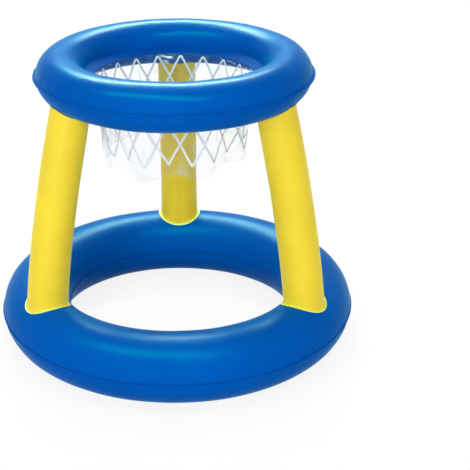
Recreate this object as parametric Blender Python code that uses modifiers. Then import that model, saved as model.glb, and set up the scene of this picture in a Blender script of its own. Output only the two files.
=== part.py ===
# Floating basketball hoop. An inflated base ring floats or stands, three inflated legs carry
# an inflated hoop ring, and a clear film net hangs in the hoop.
# Metres, +Z up. The origin is on the floor under the middle of the base ring, and the left
# and right legs stand at the front (-Y), the rear leg at +Y.

import bpy
import bmesh
from collections import namedtuple
from math import acos, asin, atan2, cos, pi, radians, sin, tan
from mathutils import Matrix, Vector

# Gap between pieces that touch, and the sheet that each kind of piece is cut from
clearance = 0.0003
skin_thickness = 0.0005
film_thickness = 0.0004

# Base ring: outside diameter with its seam edge, the tube, the seam edge and the flat it
# stands on
base_diameter = 0.610
base_tube_diameter = 0.114
base_seam_width = 0.002
base_flat_depth = 0.0005

# Hoop ring: outside diameter of its tube, without the wide seam edge. Its inner seam edge is
# wider still and droops towards the net. Its top is at the total height.
hoop_diameter = 0.453
hoop_tube_diameter = 0.077
hoop_outer_seam_width = 0.0045
hoop_inner_seam_width = 0.0152
hoop_inner_seam_drop = 0.0085
total_height = 0.508

# Legs: round tubes that bow a little outwards, rolled from a sheet with a lap weld, and
# flared where they stand on the base ring
leg_diameter = 0.067
leg_bow = 0.005
leg_foot_flare = 0.0015
leg_foot_weld_width = 0.0045
leg_head_weld_width = 0.003
leg_lap_width = 0.008
leg_lap_edge_width = 0.0008
leg_angles = {"leg_left": radians(210), "leg_right": radians(330), "leg_rear": radians(90)}
air_port_diameter = 0.014

# Net film: a skirt that hangs from the hoop ring's inner seam edge
film_weld_width = 0.005
film_bend_radius = 0.002
film_length = 0.1315
film_hem_radius = 0.119
film_fold_depth = 0.0055
film_hem_wave = 0.006
film_fold_count = 9
film_slow_count = 2

# Air valves, the same moulding on both rings
valve_flange_diameter = 0.030
valve_flange_thickness = 0.0008
valve_seat_diameter = 0.016
valve_stem_diameter = 0.010
valve_bore_diameter = 0.0062
valve_rim_diameter = 0.0124
valve_rim_thickness = 0.0012
valve_lip_diameter = 0.013
valve_lip_thickness = 0.001
valve_travel = 0.012
plug_cap_diameter = 0.0112
plug_cap_thickness = 0.0014
plug_spigot_diameter = 0.0056
plug_spigot_tip_diameter = 0.0042
plug_spigot_length = 0.0045
strap_width = 0.0032
strap_thickness = 0.001
strap_reach = 0.0086
tab_length = 0.0022
flap_diameter = 0.0084
flap_thickness = 0.0006

# Where each valve sits: angle round its ring, and angle up its tube from the outer seam
base_valve_angle = radians(125)
base_valve_rise = radians(32)
hoop_valve_angle = radians(55)
hoop_valve_rise = radians(38)

# Facets
base_segments = 56
hoop_segments = 48
tube_steps = 8
leg_sides = 24
leg_row_shares = (0.0, 0.06, 0.15, 0.32, 0.5, 0.68, 0.85, 0.94, 1.0)
leg_blend_share = 0.32
film_columns = 64
film_row_shares = (0.0, 0.25, 0.5, 0.75, 1.0)
valve_sides = 20

# One overrun serves every cut
cut_overrun = 0.004

# Sizes that follow from the ones above
base_tube_radius = base_tube_diameter/2
hoop_tube_radius = hoop_tube_diameter/2
base_core_radius = base_diameter/2 - base_seam_width - base_tube_radius
hoop_core_radius = hoop_diameter/2 - hoop_tube_radius
base_core_height = base_tube_radius - base_flat_depth
hoop_core_height = total_height - hoop_tube_radius

hoop_seam_slope = atan2(hoop_inner_seam_drop, hoop_inner_seam_width)
hoop_seam_radius = hoop_core_radius - hoop_tube_radius - hoop_inner_seam_width

# A seam edge lies this far above and below the ring's middle plane. The hoop ring's inner
# seam also holds the film, and its flat facets stand above the cone that it droops along.
seam_rise = clearance/2 + skin_thickness
facet_rise = ((hoop_seam_radius + film_weld_width)*tan(hoop_seam_slope)
              * (1/cos(pi/hoop_segments) - 1))
film_seam_rise = ((film_thickness/2 + clearance + skin_thickness)/cos(hoop_seam_slope)
                  + facet_rise)

Ring = namedtuple("Ring", "core_radius tube_radius core_height segments "
                  "outer_width inner_width outer_rise inner_rise inner_drop")
base_ring = Ring(base_core_radius, base_tube_radius, base_core_height, base_segments,
                 base_seam_width, base_seam_width, seam_rise, seam_rise, 0)
hoop_ring = Ring(hoop_core_radius, hoop_tube_radius, hoop_core_height, hoop_segments,
                 hoop_outer_seam_width, hoop_inner_seam_width, seam_rise, film_seam_rise,
                 hoop_inner_seam_drop)

blue = (0.004, 0.123, 0.552)
yellow = (0.791, 0.679, 0.070)
clear = (0.90, 0.93, 0.95)


def clear_scene():
    for old in list(bpy.data.objects):
        bpy.data.objects.remove(old)


def new_collection(name):
    collection = bpy.data.collections.new(name)
    bpy.context.scene.collection.children.link(collection)
    return collection


def vinyl(name, colour, roughness, alpha=1.0):
    material = bpy.data.materials.new(name)
    material.use_nodes = True
    shader = material.node_tree.nodes["Principled BSDF"]
    shader.inputs["Base Color"].default_value = (*colour, 1.0)
    shader.inputs["Roughness"].default_value = roughness
    shader.inputs["Metallic"].default_value = 0.0
    shader.inputs["Alpha"].default_value = alpha
    return material


def add_object(name, mesh, collection, material=None):
    piece = bpy.data.objects.new(name, mesh)
    collection.objects.link(piece)
    if material:
        mesh.materials.append(material)
    return piece


def add_cutter(piece, cutters):
    for holder in piece.users_collection:
        holder.objects.unlink(piece)
    cutters.objects.link(piece)
    piece.display_type = "WIRE"
    piece.hide_render = True
    return piece


def boolean(piece, other, operation):
    modifier = piece.modifiers.new(operation.lower(), "BOOLEAN")
    modifier.operation = operation
    modifier.object = other


def solidify(piece, thickness, offset):
    modifier = piece.modifiers.new("sheet", "SOLIDIFY")
    modifier.thickness = thickness
    modifier.offset = offset
    modifier.use_even_offset = True


def turned(name, points, steps, collection, material=None, closed=False):
    # A profile in the XZ plane, turned about the object's Z axis
    mesh = bpy.data.meshes.new(name)
    edges = [(i, i + 1) for i in range(len(points) - 1)]
    if closed:
        edges.append((len(points) - 1, 0))
    mesh.from_pydata([(x, 0, z) for x, z in points], edges, [])
    piece = add_object(name, mesh, collection, material)
    screw = piece.modifiers.new("turn", "SCREW")
    screw.axis = "Z"
    screw.angle = 2*pi
    screw.steps = steps
    screw.render_steps = steps
    screw.use_merge_vertices = True
    screw.merge_threshold = 0.00001
    screw.use_smooth_shade = True
    return piece


def lofted(name, rows, collection, material):
    # Rows of points, each row closed on itself, joined by faces that look outwards when
    # each row runs anticlockwise and the rows climb
    columns = len(rows[0])
    points = [point for row in rows for point in row]
    faces = []
    for r in range(len(rows) - 1):
        for c in range(columns):
            n = (c + 1) % columns
            faces.append((r*columns + c, r*columns + n, (r + 1)*columns + n, (r + 1)*columns + c))
    mesh = bpy.data.meshes.new(name)
    mesh.from_pydata(points, [], faces)
    mesh.shade_smooth()
    return add_object(name, mesh, collection, material)


def frozen(piece, matrix=None):
    # Replaces the piece's modifiers by their result, moved by the matrix
    depsgraph = bpy.context.evaluated_depsgraph_get()
    mesh = bpy.data.meshes.new_from_object(piece.evaluated_get(depsgraph))
    if matrix:
        mesh.transform(matrix)
    piece.modifiers.clear()
    piece.data = mesh
    return piece


def spread(start, end, steps):
    return [start + (end - start)*i/steps for i in range(steps + 1)]


def directions(angle):
    return Vector((cos(angle), sin(angle), 0)), Vector((-sin(angle), cos(angle), 0))


def on_tube(ring, angle, section, lift):
    # The point a lift above the ring's tube, at an angle round the ring and a section angle
    # up from the outer seam
    outward, _ = directions(angle)
    reach = ring.tube_radius + lift
    up = Vector((0, 0, ring.core_height + reach*sin(section)))
    return outward*(ring.core_radius + reach*cos(section)) + up


def wrapped(ring, side, angle, across, along, lift):
    # A flat sheet laid on the ring's top (side 1) or underside (side -1) at an angle: across
    # points away from the ring's middle and along follows the ring
    bend = across/ring.tube_radius
    radius = ring.core_radius + ring.tube_radius*sin(bend)
    return on_tube(ring, angle + along/radius, side*(pi/2 - bend), lift)


def facet_allowance(ring, chord):
    # A flat facet dips toward the round tube, and the ring's own facets stand proud of its
    # hollow side
    tube_sag = chord*chord/(8*ring.tube_radius)
    ring_sag = ring.core_radius*(1 - cos(pi/ring.segments))
    return tube_sag + ring_sag


def tube_profile(ring, side, flat_depth=0.0):
    # From the outer seam edge round the tube to the inner seam edge
    middle = pi/2
    flat = acos(1 - flat_depth/ring.tube_radius)
    start = asin(ring.outer_rise/ring.tube_radius)
    end = pi - asin(ring.inner_rise/ring.tube_radius)
    first = spread(start, middle - flat, tube_steps//2)
    second = spread(middle + flat, end, tube_steps//2)
    arc = first + (second if flat else second[1:])
    outer_edge = ring.core_radius + ring.tube_radius + ring.outer_width
    inner_edge = ring.core_radius - ring.tube_radius - ring.inner_width
    points = [(outer_edge, ring.core_height + side*ring.outer_rise)]
    for angle in arc:
        radius = ring.core_radius + ring.tube_radius*cos(angle)
        points.append((radius, ring.core_height + side*ring.tube_radius*sin(angle)))
    points.append((inner_edge, ring.core_height + side*ring.inner_rise - ring.inner_drop))
    return points


def ring_skin(name, ring, side, collection, material, flat_depth=0.0):
    points = tube_profile(ring, side, flat_depth)
    if side > 0:
        points.reverse()
    skin = turned(name, points, ring.segments, collection, material)
    solidify(skin, skin_thickness, -1)
    return skin


def cut_air_ports(skin, cutters):
    # The legs fill through holes in the base ring's upper skin
    for name, angle in leg_angles.items():
        centre = on_tube(base_ring, angle, pi/2, 0)
        bpy.ops.mesh.primitive_cylinder_add(vertices=valve_sides, radius=air_port_diameter/2,
                                            depth=2*cut_overrun, location=centre)
        port = add_cutter(bpy.context.object, cutters)
        port.name = name + "_air_port_cutter"
        boolean(skin, port, "DIFFERENCE")


def lap_columns():
    # Angles round a leg with the height of the lap weld, which faces the hoop's middle (pi)
    half = leg_lap_width/leg_diameter
    edge = half + 2*leg_lap_edge_width/leg_diameter
    columns = [(2*pi*i/leg_sides, 0) for i in range(leg_sides)]
    columns = [column for column in columns if abs(column[0] - pi) > edge]
    columns += [(pi - edge, 0), (pi - half, 1), (pi + half, 1), (pi + edge, 0)]
    return sorted(columns)


def leg(name, angle, collection, material):
    # The wall starts and ends as a round hole laid on a ring, with a weld edge round it, and
    # is a round tube between
    outward, along = directions(angle)
    radius = leg_diameter/2 - skin_thickness
    foot_radius = radius + leg_foot_flare
    foot_edge = foot_radius + leg_foot_weld_width
    head_edge = radius + leg_head_weld_width
    foot_lift = clearance + facet_allowance(base_ring, 2*pi*foot_edge/leg_sides)
    head_lift = clearance + facet_allowance(hoop_ring, 2*pi*head_edge/leg_sides)
    foot = wrapped(base_ring, 1, angle, 0, 0, foot_lift)
    head = wrapped(hoop_ring, -1, angle, 0, 0, head_lift)

    def weld_row(ring, side, reach, lift):
        return [wrapped(ring, side, angle, reach*cos(turn), reach*sin(turn), lift)
                for turn, _ in lap_columns()]

    foot_row = weld_row(base_ring, 1, foot_radius, foot_lift)
    head_row = weld_row(hoop_ring, -1, radius, head_lift)
    rows = [weld_row(base_ring, 1, foot_edge, foot_lift)]
    for share in leg_row_shares:
        centre = foot.lerp(head, share) + outward*leg_bow*4*share*(1 - share)
        climb = head - foot + outward*leg_bow*4*(1 - 2*share)
        across = along.cross(climb).normalized()
        near_foot = max(0, 1 - share/leg_blend_share)**2
        near_head = max(0, 1 - (1 - share)/leg_blend_share)**2
        row = []
        for i, (turn, lap) in enumerate(lap_columns()):
            lapped = lap*skin_thickness if 0 < share < 1 else 0
            reach = radius + lapped
            round_point = centre + across*reach*cos(turn) + along*reach*sin(turn)
            point = round_point*(1 - near_foot - near_head)
            row.append(point + foot_row[i]*near_foot + head_row[i]*near_head)
        rows.append(row)
    rows.append(weld_row(hoop_ring, -1, head_edge, head_lift))
    tube = lofted(name, rows, collection, material)
    solidify(tube, skin_thickness, 1)
    return tube


def fold(turn, share):
    # How far the film stands out of its mean radius: deep folds at the hem, none at the weld
    wave = cos(film_fold_count*turn) + cos((film_fold_count - film_slow_count)*turn)/2
    return film_fold_depth*share*wave


def net_film(collection, material):
    # The lower skin's seam edge has flat facets and is cut square to its slope, and the film
    # hangs clear of it
    hang_radius = (hoop_seam_radius*cos(pi/hoop_segments) - skin_thickness*sin(hoop_seam_slope)
                   - clearance - film_thickness)
    hang_height = hoop_core_height - hoop_inner_seam_drop
    turns = [2*pi*i/film_columns for i in range(film_columns)]

    def held_row(radius):
        # In the middle of the seam edge
        height = hang_height + (radius - hoop_seam_radius)*tan(hoop_seam_slope)
        return [Vector((radius*cos(turn), radius*sin(turn), height)) for turn in turns]

    rows = []
    for share in reversed(film_row_shares):
        row = []
        for turn in turns:
            mean = hang_radius + (film_hem_radius - hang_radius)*share
            radius = mean + fold(turn, share)
            drop = film_bend_radius + (film_length - film_bend_radius)*share
            drop += film_hem_wave*share*sin(film_slow_count*turn)
            row.append(Vector((radius*cos(turn), radius*sin(turn), hang_height - drop)))
        rows.append(row)
    rows.append(held_row(hang_radius + film_thickness/2))
    rows.append(held_row(hoop_seam_radius + film_weld_width))
    film = lofted("net_film", rows, collection, material)
    solidify(film, film_thickness, 0)
    return film


def valve_seat(name, ring, angle, rise, collection):
    # An empty on the skin: its Z axis points out of the ring and its Y axis up the tube
    outward, along = directions(angle)
    up = Vector((0, 0, 1))
    normal = outward*cos(rise) + up*sin(rise)
    slope = up*cos(rise) - outward*sin(rise)
    seat = bpy.data.objects.new(name, None)
    collection.objects.link(seat)
    place = on_tube(ring, angle, rise, 0)
    turn = Matrix((along, slope, normal)).transposed().to_4x4()
    seat.matrix_world = Matrix.Translation(place) @ turn
    return seat


def seated(piece, seat, offset=(0, 0, 0)):
    piece.parent = seat
    piece.location = offset
    return piece


def cut_valve_hole(skin, seat, cutters):
    # The stem's lip passes the skin and stops under the flange
    bpy.ops.mesh.primitive_cylinder_add(vertices=valve_sides, depth=2*cut_overrun,
                                        radius=valve_lip_diameter/2 + 2*clearance)
    hole = add_cutter(bpy.context.object, cutters)
    hole.name = seat.name + "_hole_cutter"
    seated(hole, seat)
    boolean(skin, hole, "DIFFERENCE")


def valve_flange(name, ring, angle, rise, seat, collection, material):
    # A disc that is flat round the stem and follows the skin outside
    to_seat = seat.matrix_world.inverted()
    bore = valve_stem_diameter/2 + clearance
    flat = valve_seat_diameter/2
    rim = valve_flange_diameter/2
    turns = [2*pi*i/valve_sides for i in range(valve_sides)]
    rows = []
    for radius in (rim, (flat + rim)/2):
        row = []
        for turn in turns:
            section = rise + radius*sin(turn)/ring.tube_radius
            ring_angle = angle + radius*cos(turn)/(ring.core_radius + ring.tube_radius*cos(rise))
            row.append(to_seat @ on_tube(ring, ring_angle, section, valve_lift))
        rows.append(row)
    for radius in (flat, bore):
        rows.append([Vector((radius*cos(turn), radius*sin(turn), valve_lift)) for turn in turns])
    flange = lofted(name, rows, collection, material)
    solidify(flange, valve_flange_thickness, 1)
    return seated(flange, seat)


# Heights along the valve's axis, from the skin's surface, with the stem pushed in
valve_lift = clearance + (valve_flange_diameter/4)**2/(4*hoop_tube_radius)
valve_flange_top = valve_lift + valve_flange_thickness
rim_bottom = valve_flange_top + clearance
rim_top = rim_bottom + valve_rim_thickness
lip_top = valve_lift - clearance - valve_travel
lip_bottom = lip_top - valve_lip_thickness
cap_bottom = rim_top + clearance
cap_top = cap_bottom + plug_cap_thickness
hinge_height = rim_top + clearance/2


def box(name, low, high, collection):
    mesh = bpy.data.meshes.new(name)
    shape = bmesh.new()
    bmesh.ops.create_cube(shape, size=1)
    low = Vector(low)
    high = Vector(high)
    bmesh.ops.scale(shape, vec=high - low, verts=shape.verts)
    bmesh.ops.translate(shape, vec=(low + high)/2, verts=shape.verts)
    shape.to_mesh(mesh)
    shape.free()
    return add_object(name, mesh, collection)


def valve_stem(name, seat, collection, cutters, material):
    # A tube with a rim outside the flange and a lip inside that stops it, and an ear for the
    # plug's strap on its lower side
    profile = [
        (valve_rim_diameter/2, rim_top),
        (valve_rim_diameter/2, rim_bottom),
        (valve_stem_diameter/2, rim_bottom),
        (valve_stem_diameter/2, lip_top),
        (valve_lip_diameter/2, lip_top),
        (valve_lip_diameter/2, lip_bottom),
        (valve_bore_diameter/2, lip_bottom),
        (valve_bore_diameter/2, rim_top),
    ]
    stem = turned(name, profile, valve_sides, collection, material, closed=True)
    ear_inner = (valve_bore_diameter + valve_stem_diameter)/4
    ear = box(name + "_ear", (-strap_width/2, -strap_reach, rim_bottom),
              (strap_width/2, -ear_inner, rim_top - clearance), collection)
    boolean(stem, add_cutter(ear, cutters), "UNION")
    frozen(stem)
    return seated(stem, seat)


def valve_plug(name, seat, collection, cutters, material):
    # A cap with a tapered spigot, a strap to the hinge at the ear and a lifting tab. The
    # object's origin is on the hinge.
    edge = plug_cap_thickness/4
    profile = [
        (0, cap_top),
        (plug_cap_diameter/2 - edge, cap_top),
        (plug_cap_diameter/2, cap_top - edge),
        (plug_cap_diameter/2, cap_bottom),
        (plug_spigot_diameter/2, cap_bottom),
        (plug_spigot_tip_diameter/2, cap_bottom - plug_spigot_length),
        (0, cap_bottom - plug_spigot_length),
    ]
    plug = turned(name, profile, valve_sides, collection, material)
    strap = box(name + "_strap", (-strap_width/2, -strap_reach, cap_bottom),
                (strap_width/2, -plug_spigot_diameter/2, cap_bottom + strap_thickness), collection)
    tab = box(name + "_tab", (-strap_width/2, plug_spigot_diameter/2, cap_bottom),
              (strap_width/2, plug_cap_diameter/2 + tab_length, cap_bottom + strap_thickness),
              collection)
    boolean(plug, add_cutter(strap, cutters), "UNION")
    boolean(plug, add_cutter(tab, cutters), "UNION")
    hinge = Vector((0, -strap_reach, hinge_height))
    frozen(plug, Matrix.Translation(-hinge))
    return seated(plug, seat, hinge)


def valve_flap(name, seat, collection, material):
    # A disc under the stem's bore that swings inwards. Its origin is on its hinge edge.
    bpy.ops.mesh.primitive_cylinder_add(vertices=valve_sides, radius=flap_diameter/2,
                                        depth=flap_thickness)
    flap = bpy.context.object
    flap.name = name
    flap.data.transform(Matrix.Translation((0, flap_diameter/2, -flap_thickness/2)))
    flap.data.materials.append(material)
    for holder in flap.users_collection:
        holder.objects.unlink(flap)
    collection.objects.link(flap)
    return seated(flap, seat, (0, -flap_diameter/2, lip_bottom - clearance))


def valve(name, ring, angle, rise, skin, collection, cutters, material):
    seat = valve_seat(name + "_seat", ring, angle, rise, collection)
    bpy.context.view_layer.update()
    cut_valve_hole(skin, seat, cutters)
    valve_flange(name + "_flange", ring, angle, rise, seat, collection, material)
    valve_stem(name + "_stem", seat, collection, cutters, material)
    valve_plug(name + "_plug", seat, collection, cutters, material)
    valve_flap(name + "_flap", seat, collection, material)


def main():
    clear_scene()
    parts = new_collection("floating_basketball_hoop")
    cutters = new_collection("cutters")
    base_vinyl = vinyl("base_blue_vinyl", blue, 0.32)
    hoop_vinyl = vinyl("hoop_blue_vinyl", blue, 0.30)
    leg_vinyl = vinyl("yellow_vinyl", yellow, 0.38)
    film_vinyl = vinyl("clear_film", clear, 0.12, alpha=0.3)
    valve_vinyl = vinyl("valve_vinyl", clear, 0.25, alpha=0.6)
    base_upper = ring_skin("base_ring_upper_skin", base_ring, 1, parts, base_vinyl)
    ring_skin("base_ring_lower_skin", base_ring, -1, parts, base_vinyl, base_flat_depth)
    hoop_upper = ring_skin("hoop_ring_upper_skin", hoop_ring, 1, parts, hoop_vinyl)
    ring_skin("hoop_ring_lower_skin", hoop_ring, -1, parts, hoop_vinyl)
    cut_air_ports(base_upper, cutters)
    for name, angle in leg_angles.items():
        leg(name, angle, parts, leg_vinyl)
    net_film(parts, film_vinyl)
    valve("base_valve", base_ring, base_valve_angle, base_valve_rise, base_upper, parts, cutters,
          valve_vinyl)
    valve("hoop_valve", hoop_ring, hoop_valve_angle, hoop_valve_rise, hoop_upper, parts, cutters,
          valve_vinyl)


main()
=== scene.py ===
from math import asin, atan2, cos, exp, pi, radians, sin, sqrt
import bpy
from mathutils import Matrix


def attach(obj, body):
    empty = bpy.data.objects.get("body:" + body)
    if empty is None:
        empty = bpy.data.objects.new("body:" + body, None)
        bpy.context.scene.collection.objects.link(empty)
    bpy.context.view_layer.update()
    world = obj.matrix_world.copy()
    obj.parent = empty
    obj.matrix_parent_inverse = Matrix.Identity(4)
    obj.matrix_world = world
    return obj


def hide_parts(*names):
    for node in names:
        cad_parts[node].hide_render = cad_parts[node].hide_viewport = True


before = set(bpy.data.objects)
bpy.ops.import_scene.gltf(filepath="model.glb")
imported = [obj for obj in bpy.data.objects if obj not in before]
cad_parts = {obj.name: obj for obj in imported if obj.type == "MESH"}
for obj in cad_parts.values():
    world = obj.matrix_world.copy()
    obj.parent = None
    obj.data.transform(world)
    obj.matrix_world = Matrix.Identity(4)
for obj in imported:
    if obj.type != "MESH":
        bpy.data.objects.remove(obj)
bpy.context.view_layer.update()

from types import SimpleNamespace

import bmesh
import bpy
import numpy as np
from mathutils import Matrix, Vector, noise


# The photograph's camera

camera = {
    "position": (0.05029, -1.98935, 1.06999),
    "heading": -0.00905,  # radians from +Y towards +X
    "pitch": 0.40373,  # radians below the horizon
    "roll": -0.00881,
    "lens": 96.589,
    "sensor": 36.0,
    "shift": (0.0851, -0.0511),
}


def newItem(name, data):
    item = bpy.data.objects.new(name, data)
    bpy.context.scene.collection.objects.link(item)
    return item


def placeCamera(view):
    level = Vector((sin(view["heading"]), cos(view["heading"]), 0))
    forward = level*cos(view["pitch"]) - Vector((0, 0, sin(view["pitch"])))
    right = forward.cross(Vector((0, 0, 1))).normalized()
    up = right.cross(forward)
    turnedRight = right*cos(view["roll"]) + up*sin(view["roll"])
    turnedUp = up*cos(view["roll"]) - right*sin(view["roll"])
    data = bpy.data.cameras.new("photo camera")
    data.lens = view["lens"]
    data.sensor_width = view["sensor"]
    data.shift_x, data.shift_y = view["shift"]
    data.clip_end = 100
    item = newItem("photo camera", data)
    axes = Matrix((turnedRight, turnedUp, -forward)).transposed().to_4x4()
    item.matrix_world = Matrix.Translation(view["position"]) @ axes
    bpy.context.scene.camera = item


placeCamera(camera)
bpy.context.scene.view_settings.view_transform = "Standard"
print("camera placed")


socketKinds = {"geometry": "Geometry", "segments": "Int", "count": "Int", "film": "Object",
               "material": "Material"}


def feed(tree, node, inputs):
    # Links or sets each input; a colour is given without its alpha
    for key, value in inputs.items():
        socket = node.inputs[key]
        if isinstance(value, bpy.types.NodeSocket):
            tree.links.new(value, socket)
        else:
            socket.default_value = (*value, 1) if socket.type == "RGBA" else value


def addNode(tree, kind, inputs=None, **settings):
    node = tree.nodes.new(kind)
    for key, value in settings.items():
        setattr(node, key, value)
    feed(tree, node, inputs or {})
    return node


def result(tree, kind, inputs=None, pick=0, **settings):
    # A new node's output
    return addNode(tree, kind, inputs, **settings).outputs[pick]


def grow(tree, kind, inputs=None, pick=0, **settings):
    # The output of a new node that only Geometry Nodes has
    return result(tree, "GeometryNode" + kind, inputs, pick, **settings)


def calc(tree, operation, first, second=0.0, third=0.0):
    return result(tree, "ShaderNodeMath", {0: first, 1: second, 2: third}, operation=operation)


def vectorCalc(tree, operation, first, second=(0, 0, 0), scale=1.0):
    return result(tree, "ShaderNodeVectorMath", {0: first, 1: second, 3: scale},
                  operation=operation)


def vector(tree, x=0.0, y=0.0, z=0.0):
    return result(tree, "ShaderNodeCombineXYZ", {0: x, 1: y, 2: z})


def ramp(tree, factor, low, high):
    return result(tree, "ShaderNodeMapRange",
                  {"Value": factor, "From Min": low, "From Max": high})


def blendColours(tree, factor, first, second):
    return result(tree, "ShaderNodeMix", {"Factor": factor, 6: first, 7: second}, 2,
                  data_type="RGBA")


def named(tree, name, kind="FLOAT"):
    return grow(tree, "InputNamedAttribute", {"Name": name}, data_type=kind)


def label(key):
    # coreRadius becomes Core Radius
    return "".join(" " + letter if letter.isupper() else letter for letter in key).title()


def modifierTree(name, keys):
    # A Geometry Nodes tree with an input for each key; returns it and its inputs by key
    tree = bpy.data.node_groups.new(name, "GeometryNodeTree")
    for key in keys:
        kind = socketKinds.get(key, "Float")
        tree.interface.new_socket(label(key), in_out="INPUT", socket_type="NodeSocket" + kind)
    tree.interface.new_socket("Geometry", in_out="OUTPUT", socket_type="NodeSocketGeometry")
    given = tree.nodes.new("NodeGroupInput")
    return tree, {key: given.outputs[label(key)] for key in keys}


def endTree(tree, geometry, material):
    real = grow(tree, "RealizeInstances", {0: geometry})
    smooth = grow(tree, "SetShadeSmooth", {0: real})
    painted = grow(tree, "SetMaterial", {"Geometry": smooth, "Material": material})
    addNode(tree, "NodeGroupOutput", {0: painted})


def grownMesh(item, tree, values):
    # Runs the tree on the object and keeps the result as its plain mesh
    modifier = item.modifiers.new(tree.name, "NODES")
    modifier.node_group = tree
    labelled = {label(key): value for key, value in values.items()}
    for socket in tree.interface.items_tree:
        if socket.in_out == "INPUT" and socket.name in labelled:
            modifier[socket.identifier] = labelled[socket.name]
    return frozen(item)


def frozen(item):
    graph = bpy.context.evaluated_depsgraph_get()
    graph.update()
    mesh = bpy.data.meshes.new_from_object(item.evaluated_get(graph))
    mesh.name = item.name
    item.modifiers.clear()
    item.data = mesh
    return item


def giveAttribute(mesh, name, values):
    attribute = mesh.attributes.new(name, "FLOAT", "POINT")
    attribute.data.foreach_set("value", np.asarray(values, np.float32).ravel())


def gridMesh(name, grid, closed):
    # Quads over a grid of points (rows, columns, 3), closed both ways or open both ways
    rows, columns = grid.shape[:2]
    last = 0 if closed else 1
    r, c = np.meshgrid(np.arange(rows - last), np.arange(columns - last), indexing="ij")
    nextRow, nextColumn = (r + 1) % rows, (c + 1) % columns
    faces = np.stack([r*columns + c, r*columns + nextColumn, nextRow*columns + nextColumn,
                      nextRow*columns + c], axis=-1).reshape(-1, 4)
    mesh = bpy.data.meshes.new(name)
    mesh.from_pydata(grid.reshape(-1, 3).tolist(), [], faces.tolist())
    return mesh


def ringMesh(name, grid, material, **attributes):
    # A closed wall with two sides: its rows go up one side and down the other
    mesh = gridMesh(name, grid, True)
    for key, values in attributes.items():
        giveAttribute(mesh, key, values)
    mesh.materials.append(material)
    mesh.shade_smooth()
    piece = newItem(name, mesh)
    faceOutwards(piece)
    return piece


def faceOutwards(piece):
    shape = bmesh.new()
    shape.from_mesh(piece.data)
    bmesh.ops.recalc_face_normals(shape, faces=shape.faces)
    shape.to_mesh(piece.data)
    shape.free()


def seat(piece, body, node):
    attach(piece, body)
    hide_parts(node)


def spread(start, end, steps):
    return [start + (end - start)*i/steps for i in range(steps + 1)]


def circle(count):
    return 2*pi*np.arange(count)/count


def polar(radius, turns, height):
    # Points at a radius and a height, turned about Z
    return np.stack(np.broadcast_arrays(radius*np.cos(turns), radius*np.sin(turns), height),
                    axis=-1)


def smoothStep(values):
    held = np.clip(values, 0, 1)
    return held*held*(3 - 2*held)


def ripple(turns, counts, seed):
    # An uneven wave round a circle, between about -1 and 1
    draw = np.random.default_rng(seed)
    total = np.zeros_like(turns)
    for count in counts:
        total += draw.uniform(0.4, 1)*np.cos(count*turns + draw.uniform(0, 2*pi))
    return total/sqrt(len(counts))


# Finishes

blueVinyl = {
    "colour": (0.0002, 0.080, 0.380),
    # darker than the body: painted shade on the welded flanges, most of all the hoop's inner
    # flange
    "weldColour": (0.0002, 0.055, 0.350),
    # paler cut edge: painted highlight
    "trimColour": (0.0006, 0.100, 0.440),
    "roughness": 0.30,
    "specular": 0.010,
    "gloss": (0.0, 0.85, 0.90),
    "sheen": 0.18,
    "sheenSpread": 0.35,
    "sheenColour": (0.0, 0.85, 0.90),
    "weldRoughness": 0.45,  # added where the sheets are welded
    "weldGrain": 0.10,
    "pebbleScale": 900,
    "pebbleHeight": 0.0003,
    "grain": 0.05,
    "grainScale": 1400,
    "grainHeight": 0.0002,
    "cloudScale": 9,
    "clouds": (0.94, 1.05),  # darkest and lightest share of the colour
    "scuffScale": 24,
    "scuffs": 0.05,  # how much rougher a scuffed patch is
}
# the base's cut edge is dark: painted shade in its seam's groove
baseVinyl = dict(blueVinyl, roughness=0.36, specular=0.014, trimColour=(0.0002, 0.050, 0.270))
yellowVinyl = dict(
    blueVinyl,
    colour=(0.735, 0.562, 0.032),
    weldColour=(0.720, 0.505, 0.018),
    # pale green-yellow cut edge: painted highlight
    trimColour=(0.720, 0.900, 0.300),
    collarColour=blueVinyl["colour"],
    collarFade=0.0002,
    roughness=0.34,
    specular=0.18,
    gloss=(1.0, 0.95, 0.70),
    sheen=0.55,
    sheenSpread=0.50,
    sheenColour=(1.0, 0.86, 0.05),
    weldRoughness=0.28,
    weldGrain=0.30,
)
clearFilm = {
    "colour": (0.22, 0.38, 0.58),
    "creaseColour": (0.38, 0.54, 0.70),
    # painted highlights: the near-white colour of the glints where the film crumples
    "paintedGlintColour": (0.88, 0.97, 1.0),
    "roughness": 0.16,
    "roughSpread": 0.08,
    "specular": 0.25,
    "thin": 0.042,  # cover where it is smooth
    "thick": 0.13,  # cover where it is creased
    "haze": 0.016,
    "hazeScale": 30,
    "glint": 0.85,
    "crinkle": 0.35,
    "crinkleScale": 120,
    "crinkleHeight": 0.0012,
}
whiteInk = {
    # grey-blue rather than white: painted shade on the white print
    "colour": (0.66, 0.71, 0.78),
    "shade": 0.96,  # share of the colour in the darker patches
    "patchScale": 60,
    "roughness": 0.42,
    "roughSpread": 0.06,
    "specular": 0.5,
    "grain": 0.2,
    "grainScale": 2200,
    "grainHeight": 0.0001,
}
clearVinyl = {
    "colour": (0.56, 0.64, 0.72),
    "shade": 0.9,
    "patchScale": 260,
    "roughness": 0.30,
    "roughSpread": 0.08,
    "specular": 0.05,
    "cover": 0.66,
    "coverSpread": 0.12,
    "grain": 0.15,
    "grainScale": 1800,
    "grainHeight": 0.0001,
}


def newMaterial(name):
    material = bpy.data.materials.new(name)
    material.use_nodes = True
    tree = material.node_tree
    return material, tree, tree.nodes["Principled BSDF"]


def attributeValue(tree, name):
    return result(tree, "ShaderNodeAttribute", pick="Fac", attribute_name=name)


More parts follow.
